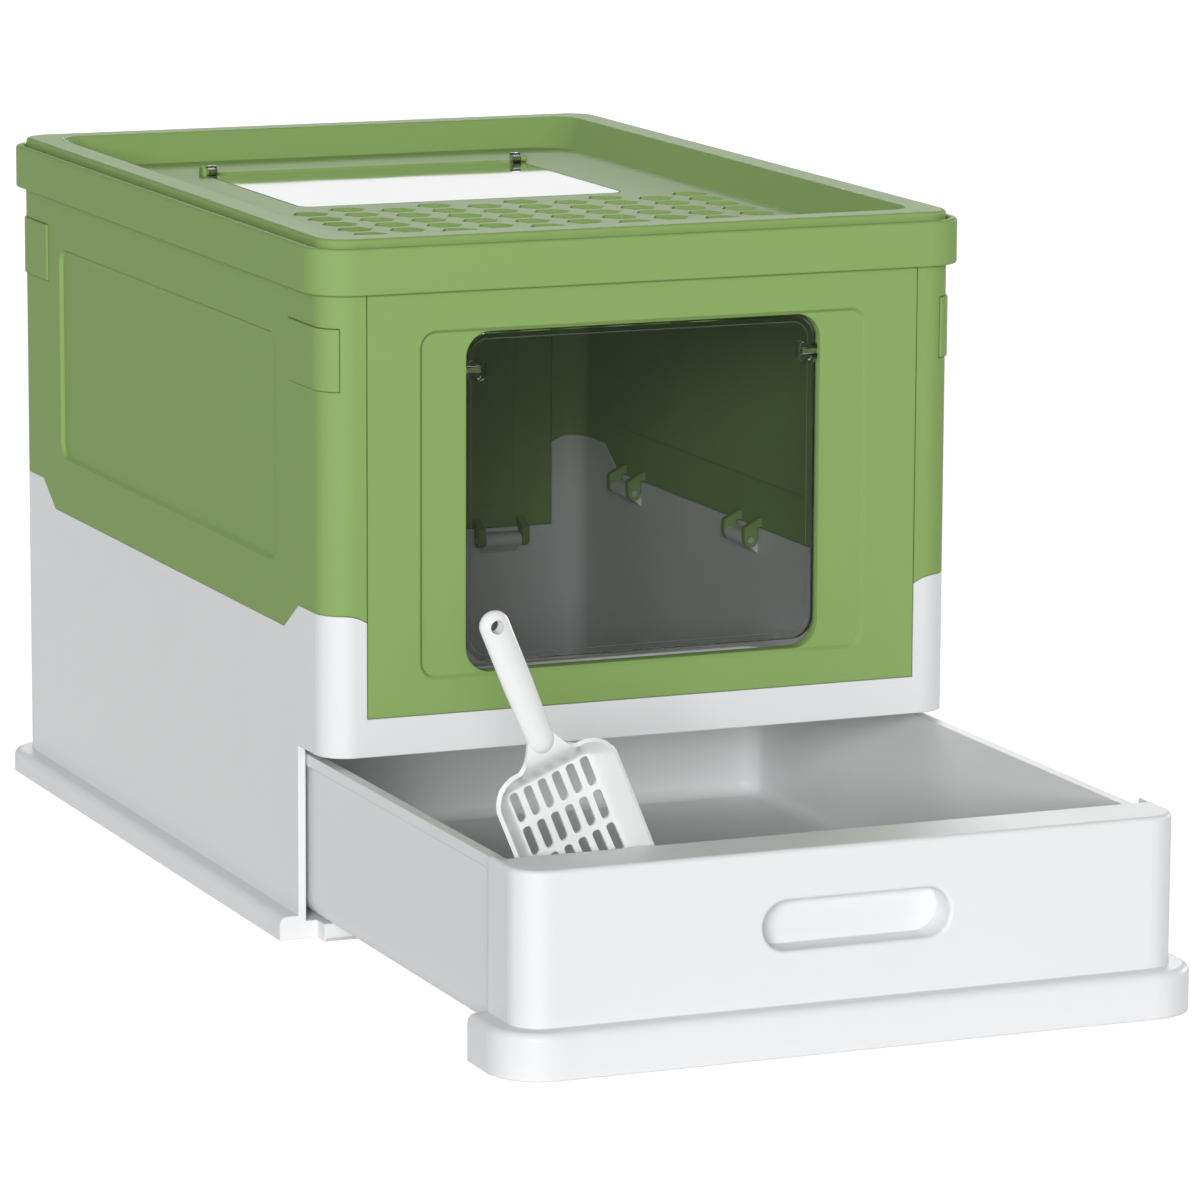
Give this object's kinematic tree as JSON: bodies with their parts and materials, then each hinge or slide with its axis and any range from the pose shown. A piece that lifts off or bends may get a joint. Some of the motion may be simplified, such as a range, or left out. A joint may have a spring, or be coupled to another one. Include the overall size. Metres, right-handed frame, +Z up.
{
  "type": "foldable litter box",
  "caption": "Hooded pet litter box with folding walls on a tub base, a clear swing door in front, a clear top exit in a lift-off lid, and a pull-out litter drawer with a scoop.",
  "frame": {"origin": "middle of the base's underside, at floor level", "axes": "+Z up, front of the box towards -Y, +X to the right seen from the front"},
  "size_m": [0.36, 0.762, 0.356],
  "materials": {
    "green_shell": "satin moulded",
    "white_base": "satin moulded",
    "smoked_flap": "clear smoked",
    "white_scoop": "gloss moulded",
    "grip_pad": "soft",
    "pin": "moulded"
  },
  "bodies": {
    "base": {"base_shell": "white_base", "anti_slip_pads": "grip_pad", "left_wall_pins": "pin", "right_wall_pins": "pin", "front_wall_pins": "pin", "back_wall_pins": "pin"},
    "left_wall": {"left_wall": "green_shell"},
    "right_wall": {"right_wall": "green_shell"},
    "front_wall": {"front_wall": "green_shell", "front_flap_pins": "green_shell"},
    "back_wall": {"back_wall": "green_shell"},
    "front_flap": {"front_flap": "smoked_flap"},
    "lid": {"lid_frame": "green_shell", "lid_tray": "green_shell", "top_flap_pins": "green_shell"},
    "top_flap": {"top_flap": "smoked_flap"},
    "drawer": {"drawer_tray": "white_base", "drawer_front": "white_base"},
    "scoop": {"scoop": "white_scoop"},
    "clip_front_left": {"clip_front_left": "green_shell"},
    "clip_front_right": {"clip_front_right": "green_shell"},
    "clip_back_left": {"clip_back_left": "green_shell"},
    "clip_back_right": {"clip_back_right": "green_shell"}
  },
  "joints": [
    {"name": "drawer_slide", "type": "slide", "parent": "base", "child": "drawer", "axis": [0, -1, 0], "range_m": [-0.254, 0]},
    {"name": "scoop_lift", "type": "slide", "parent": "drawer", "child": "scoop", "axis": [0, 0, 1], "range_m": [0, 0.4754]},
    {"name": "lid_lift", "type": "slide", "parent": "base", "child": "lid", "axis": [0, 0, 1], "range_m": [0, 0.3]},
    {"name": "top_flap_swing", "type": "hinge", "parent": "lid", "child": "top_flap", "pos_m": [0, 0.1515, 0.3426], "axis": [-1, 0, 0], "range_deg": [0, 100]},
    {"name": "front_wall_fold", "type": "hinge", "parent": "base", "child": "front_wall", "pos_m": [0, -0.234, 0.112], "axis": [-1, 0, 0], "range_deg": [0, 90]},
    {"name": "back_wall_fold", "type": "hinge", "parent": "base", "child": "back_wall", "pos_m": [0, 0.234, 0.112], "axis": [1, 0, 0], "range_deg": [0, 90]},
    {"name": "left_wall_fold", "type": "hinge", "parent": "base", "child": "left_wall", "pos_m": [-0.16, 0, 0.15], "axis": [0, 1, 0], "range_deg": [0, 90]},
    {"name": "right_wall_fold", "type": "hinge", "parent": "base", "child": "right_wall", "pos_m": [0.16, 0, 0.15], "axis": [0, -1, 0], "range_deg": [0, 90]},
    {"name": "front_flap_swing", "type": "hinge", "parent": "front_wall", "child": "front_flap", "pos_m": [0, -0.238, 0.288], "axis": [-1, 0, 0], "range_deg": [-80, 80]},
    {"name": "clip_front_left_swing", "type": "hinge", "parent": "left_wall", "child": "clip_front_left", "pos_m": [-0.171, -0.1923, 0.2967], "axis": [0, 0, -1], "range_deg": [0, 35]},
    {"name": "clip_front_right_swing", "type": "hinge", "parent": "right_wall", "child": "clip_front_right", "pos_m": [0.171, -0.1923, 0.2967], "axis": [0, 0, 1], "range_deg": [0, 35]},
    {"name": "clip_back_left_swing", "type": "hinge", "parent": "left_wall", "child": "clip_back_left", "pos_m": [-0.171, 0.1923, 0.2967], "axis": [0, 0, 1], "range_deg": [0, 35]},
    {"name": "clip_back_right_swing", "type": "hinge", "parent": "right_wall", "child": "clip_back_right", "pos_m": [0.171, 0.1923, 0.2967], "axis": [0, 0, -1], "range_deg": [0, 35]}
  ],
  "couplings": [
    {"joint": "scoop_lift", "follows": "drawer_slide", "ratio": -1.85},
    {"joint": "back_wall_fold", "follows": "front_wall_fold", "ratio": 1},
    {"joint": "left_wall_fold", "follows": "front_wall_fold", "ratio": 0.13333},
    {"joint": "right_wall_fold", "follows": "front_wall_fold", "ratio": 0.13333}
  ]
}
